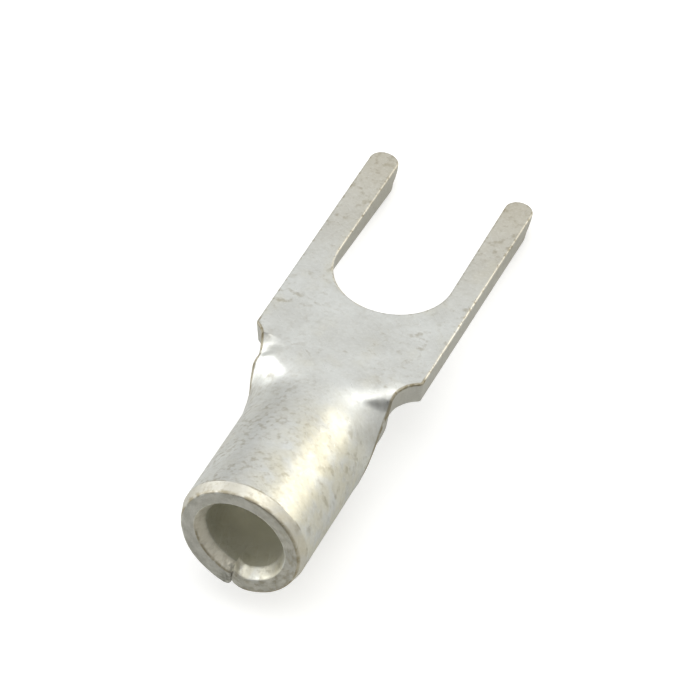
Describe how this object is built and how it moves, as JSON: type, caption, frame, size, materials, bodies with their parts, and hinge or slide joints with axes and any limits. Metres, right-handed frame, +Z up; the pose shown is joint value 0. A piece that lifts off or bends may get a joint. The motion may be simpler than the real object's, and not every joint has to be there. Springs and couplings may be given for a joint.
{
  "type": "uninsulated spade terminal",
  "caption": "Bare spade terminal stamped from plated copper sheet: a flat open fork for a screw, level with the top of a rolled wire barrel with a butt seam underneath.",
  "frame": {"origin": "middle of the terminal's outline on the surface that it lies on, under the neck", "axes": "+X from the barrel's mouth towards the prong tips, +Y across the fork, +Z up; the fork leans down towards its tips by 15.7 degrees"},
  "size_m": [0.016, 0.0056, 0.0049],
  "materials": {
    "tin_plate": "satin tin plate on copper"
  },
  "bodies": {
    "root": {"spade_terminal": "tin_plate"}
  },
  "joints": []
}
